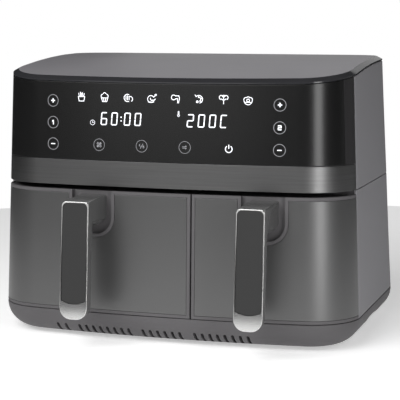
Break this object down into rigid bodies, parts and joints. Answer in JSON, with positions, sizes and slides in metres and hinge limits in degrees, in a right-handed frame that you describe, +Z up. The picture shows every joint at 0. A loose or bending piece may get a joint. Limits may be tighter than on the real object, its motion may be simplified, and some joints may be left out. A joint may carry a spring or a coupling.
{
  "type": "air fryer",
  "caption": "Countertop air fryer with a wide and a narrow pull-out drawer side by side under a curved touch panel.",
  "frame": {"origin": "centre of the bottom of the whole object's box, on the worktop", "axes": "+X to the right of someone facing the drawers, -Y towards that person and the way the drawers open, +Z up"},
  "size_m": [0.4, 0.3518, 0.3009],
  "materials": {
    "satin_grey": "satin moulded plastic, fine texture",
    "dark_plastic": "dark grey moulded plastic, satin",
    "gloss_black": "gloss black touch panel",
    "black_plastic": "black plastic, satin",
    "dark_steel": "dark steel, brushed lengthwise, satin",
    "gunmetal": "gunmetal plating over moulded plastic, glossy",
    "bright_silver": "bright silver plating",
    "galvanised": "galvanised sheet steel, dull",
    "heater_steel": "steel heater tube, heat tinted",
    "aluminium": "pressed aluminium",
    "pan_coating": "black non-stick coating, satin",
    "silicone": "black silicone",
    "circuit_board": "green circuit board",
    "rubber": "black rubber",
    "white_plastic": "white plastic"
  },
  "bodies": {
    "housing": {"base_tray": "dark_plastic", "lower_rear_shell": "satin_grey", "upper_rear_shell": "satin_grey", "top_cover": "satin_grey", "outlet_grille": "dark_plastic", "fascia_carrier": "dark_plastic", "control_glass": "gloss_black", "steel_band": "dark_steel", "control_board": "circuit_board", "power_board": "circuit_board", "bay_frame": "dark_plastic", "cord_gland": "black_plastic", "foot_front_left": "rubber", "foot_front_right": "rubber", "foot_rear_left": "rubber", "foot_rear_right": "rubber", "left_liner": "galvanised", "left_heater": "heater_steel", "left_sensor": "bright_silver", "left_motor": "galvanised", "left_motor_bracket": "galvanised", "left_interlock_switch": "black_plastic", "right_liner": "galvanised", "right_heater": "heater_steel", "right_sensor": "bright_silver", "right_motor": "galvanised", "right_motor_bracket": "galvanised", "right_interlock_switch": "black_plastic"},
    "left_drawer": {"left_drawer_front": "dark_plastic", "left_drawer_skin": "dark_steel", "left_backplate": "galvanised", "left_handle_arm": "gunmetal", "left_handle_trim": "bright_silver", "left_handle_insert": "black_plastic", "left_pan": "pan_coating"},
    "left_plate": {"left_crisper_plate": "pan_coating", "left_bumper_front": "silicone", "left_bumper_rear": "silicone", "left_bumper_left": "silicone", "left_bumper_right": "silicone"},
    "left_rotor": {"left_motor_shaft": "bright_silver", "left_hot_air_fan": "aluminium", "left_cooling_fan": "black_plastic"},
    "left_plunger": {"left_interlock_plunger": "white_plastic"},
    "right_drawer": {"right_drawer_front": "dark_plastic", "right_drawer_skin": "dark_steel", "right_backplate": "galvanised", "right_handle_arm": "gunmetal", "right_handle_trim": "bright_silver", "right_handle_insert": "black_plastic", "right_pan": "pan_coating"},
    "right_plate": {"right_crisper_plate": "pan_coating", "right_bumper_front": "silicone", "right_bumper_rear": "silicone", "right_bumper_left": "silicone", "right_bumper_right": "silicone"},
    "right_rotor": {"right_motor_shaft": "bright_silver", "right_hot_air_fan": "aluminium", "right_cooling_fan": "black_plastic"},
    "right_plunger": {"right_interlock_plunger": "white_plastic"}
  },
  "joints": [
    {"name": "left_drawer_slide", "type": "slide", "parent": "housing", "child": "left_drawer", "axis": [0, -1, 0], "range_m": [0, 0.2]},
    {"name": "left_plate_lift", "type": "slide", "parent": "left_drawer", "child": "left_plate", "axis": [0, 0, 1], "range_m": [0, 0.1085]},
    {"name": "left_fan_spin", "type": "hinge", "parent": "housing", "child": "left_rotor", "pos_m": [-0.0786, 0.02913, 0.2], "axis": [0, 0, 1], "continuous": true},
    {"name": "left_plunger_slide", "type": "slide", "parent": "housing", "child": "left_plunger", "axis": [0, -1, 0], "range_m": [0, 0.0035]},
    {"name": "right_drawer_slide", "type": "slide", "parent": "housing", "child": "right_drawer", "axis": [0, -1, 0], "range_m": [0, 0.2]},
    {"name": "right_plate_lift", "type": "slide", "parent": "right_drawer", "child": "right_plate", "axis": [0, 0, 1], "range_m": [0, 0.1085]},
    {"name": "right_fan_spin", "type": "hinge", "parent": "housing", "child": "right_rotor", "pos_m": [0.1109, 0.02913, 0.2], "axis": [0, 0, 1], "continuous": true},
    {"name": "right_plunger_slide", "type": "slide", "parent": "housing", "child": "right_plunger", "axis": [0, -1, 0], "range_m": [0, 0.0035]}
  ],
  "couplings": [
    {"joint": "left_plunger_slide", "follows": "left_drawer_slide", "ratio": 0.0175},
    {"joint": "right_plunger_slide", "follows": "right_drawer_slide", "ratio": 0.0175}
  ]
}
